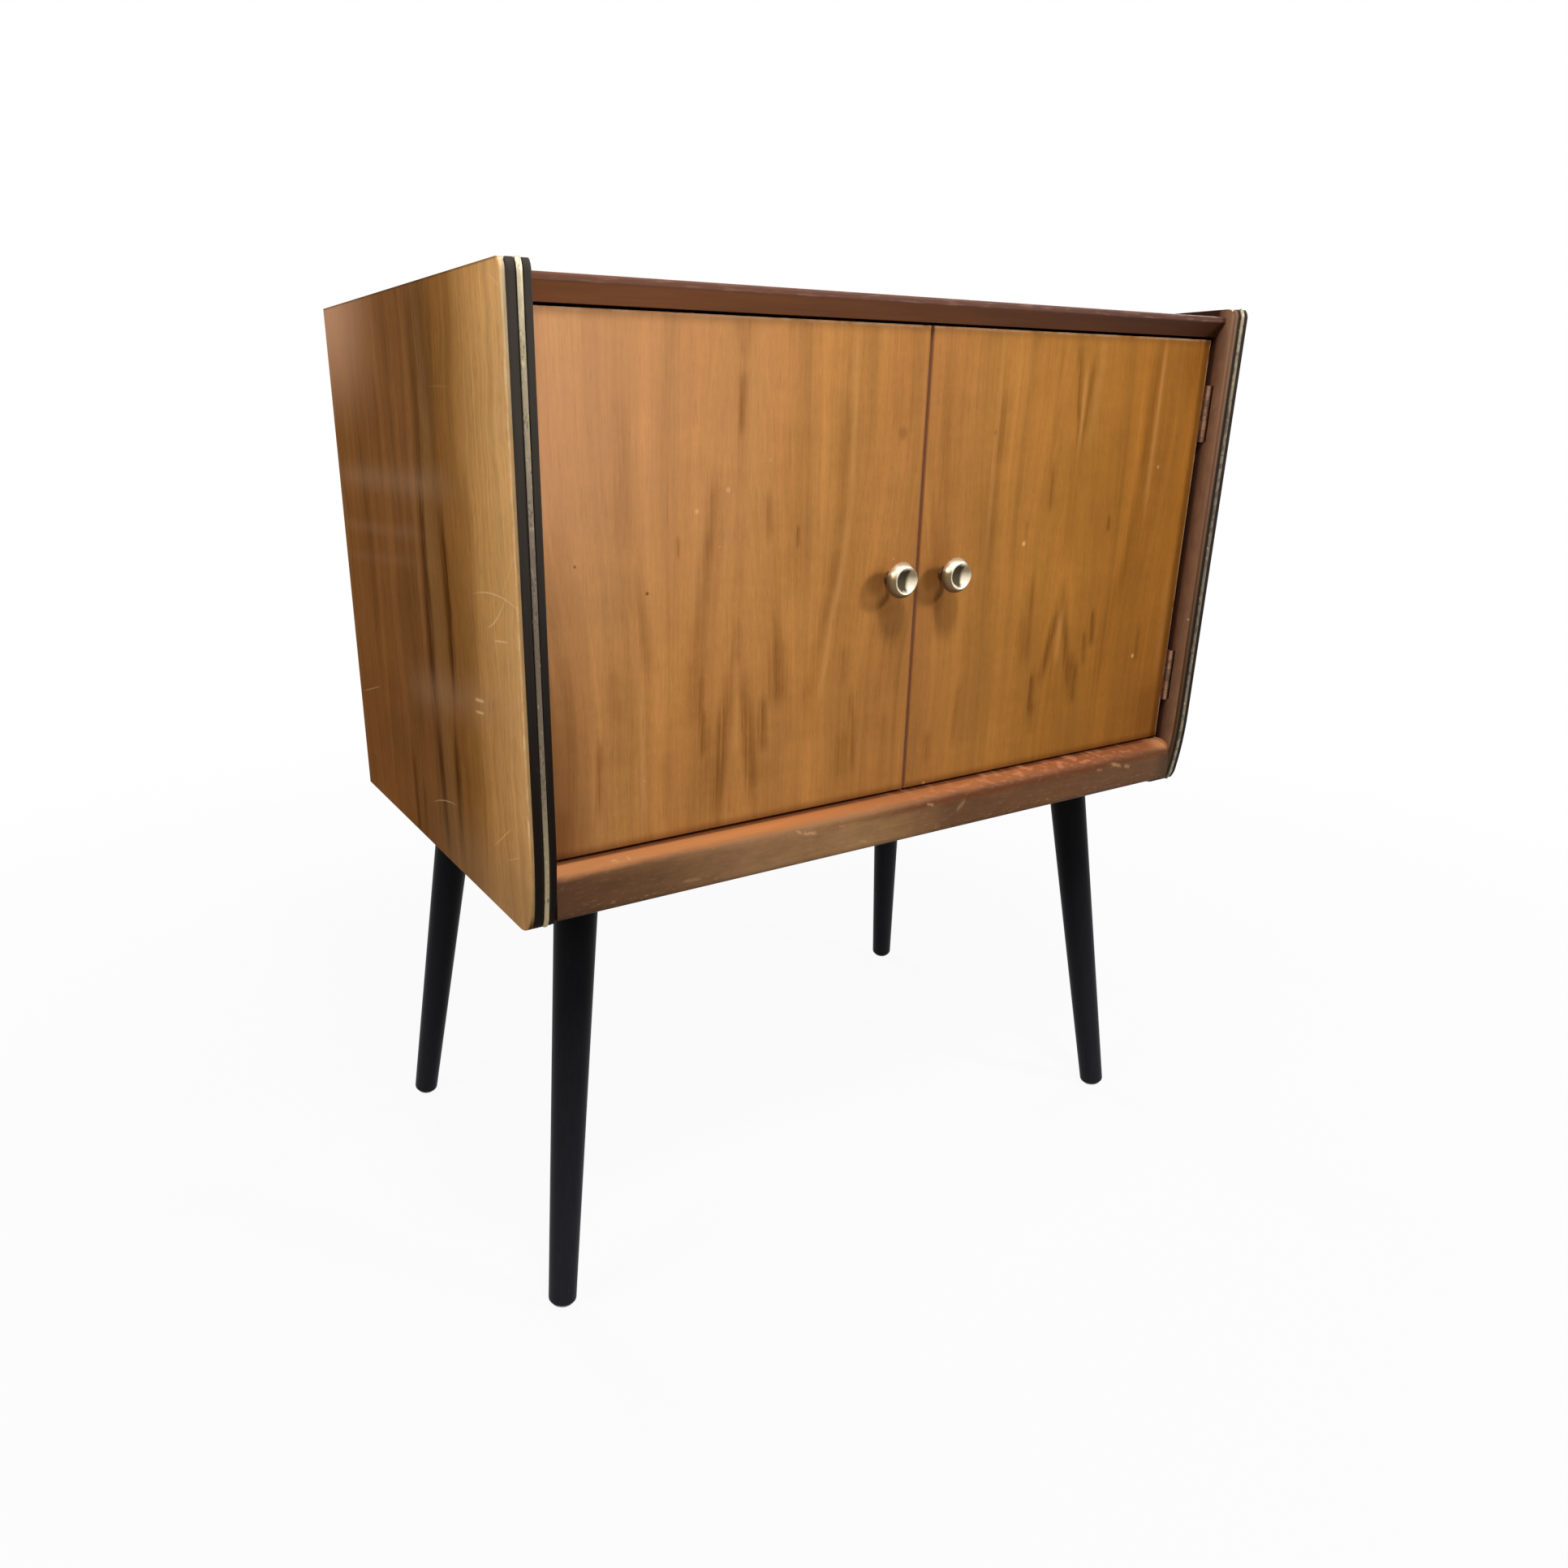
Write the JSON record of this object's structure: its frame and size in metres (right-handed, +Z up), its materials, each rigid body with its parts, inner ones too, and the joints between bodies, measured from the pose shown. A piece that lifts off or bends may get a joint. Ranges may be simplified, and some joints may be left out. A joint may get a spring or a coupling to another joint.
{
  "type": "record cabinet",
  "caption": "Low veneered record cabinet with inset hinged doors, dark edge mouldings with a gilt bead, and splayed tapered black legs.",
  "frame": {"origin": "on the floor, under the centre of the cabinet", "axes": "+Z up, +X to the right seen from the front, +Y from the doors to the back"},
  "size_m": [0.61, 0.3712, 0.7002],
  "materials": {
    "side_veneer": "glossy lacquered figured veneer",
    "door_veneer": "glossy lacquered figured veneer",
    "top_veneer": "glossy lacquered veneer",
    "rail_timber": "satin stained hardwood",
    "carcass_board": "sealed board",
    "hardboard": "smooth oil-tempered hardboard",
    "divider_board": "thin sealed plywood",
    "beech": "plain turned beech",
    "black_leg": "satin black lacquer",
    "edging": "satin black extruded moulding",
    "gilt": "worn gilt foil",
    "knob": "polished, lacquered",
    "hinge": "dull brassed finish",
    "steel": "bright zinc",
    "plate": "black japanned steel",
    "catch_plastic": "brown moulded case",
    "ferrite": "grey ferrite"
  },
  "bodies": {
    "carcass": {"left_side_panel": "side_veneer", "right_side_panel": "side_veneer", "left_edging_strip": "edging", "right_edging_strip": "edging", "left_edging_bead": "gilt", "right_edging_bead": "gilt", "top_panel": "top_veneer", "bottom_panel": "carcass_board", "back_panel": "hardboard", "back_panel_pins": "steel", "top_rail": "rail_timber", "bottom_rail": "rail_timber", "left_divider": "divider_board", "right_divider": "divider_board", "carcass_dowels": "beech", "glue_blocks": "beech", "left_upper_hinge_frame_leaf": "hinge", "left_lower_hinge_frame_leaf": "hinge", "right_upper_hinge_frame_leaf": "hinge", "right_lower_hinge_frame_leaf": "hinge", "hinge_pins": "hinge", "frame_leaf_screws": "hinge", "left_catch_case": "catch_plastic", "right_catch_case": "catch_plastic", "catch_magnets": "ferrite", "catch_pole_plates": "steel", "catch_screws": "steel", "front_left_leg": "black_leg", "front_left_leg_plate": "plate", "front_right_leg": "black_leg", "front_right_leg_plate": "plate", "back_left_leg": "black_leg", "back_left_leg_plate": "plate", "back_right_leg": "black_leg", "back_right_leg_plate": "plate", "foot_glides": "steel", "hanger_bolts": "steel", "leg_plate_screws": "steel"},
    "left_door_body": {"left_door": "door_veneer", "left_upper_hinge_door_leaf": "hinge", "left_lower_hinge_door_leaf": "hinge", "left_door_leaf_screws": "hinge", "left_knob": "knob", "left_knob_screw": "steel", "left_strike_plate": "steel", "left_strike_screw": "steel"},
    "right_door_body": {"right_door": "door_veneer", "right_upper_hinge_door_leaf": "hinge", "right_lower_hinge_door_leaf": "hinge", "right_door_leaf_screws": "hinge", "right_knob": "knob", "right_knob_screw": "steel", "right_strike_plate": "steel", "right_strike_screw": "steel"}
  },
  "joints": [
    {"name": "right_door_hinge", "type": "hinge", "parent": "carcass", "child": "right_door_body", "pos_m": [0.2868, -0.1699, 0.5192], "axis": [0, 0, 1], "range_deg": [0, 95]},
    {"name": "left_door_hinge", "type": "hinge", "parent": "carcass", "child": "left_door_body", "pos_m": [-0.2868, -0.1699, 0.5192], "axis": [0, 0, -1], "range_deg": [0, 95]}
  ]
}
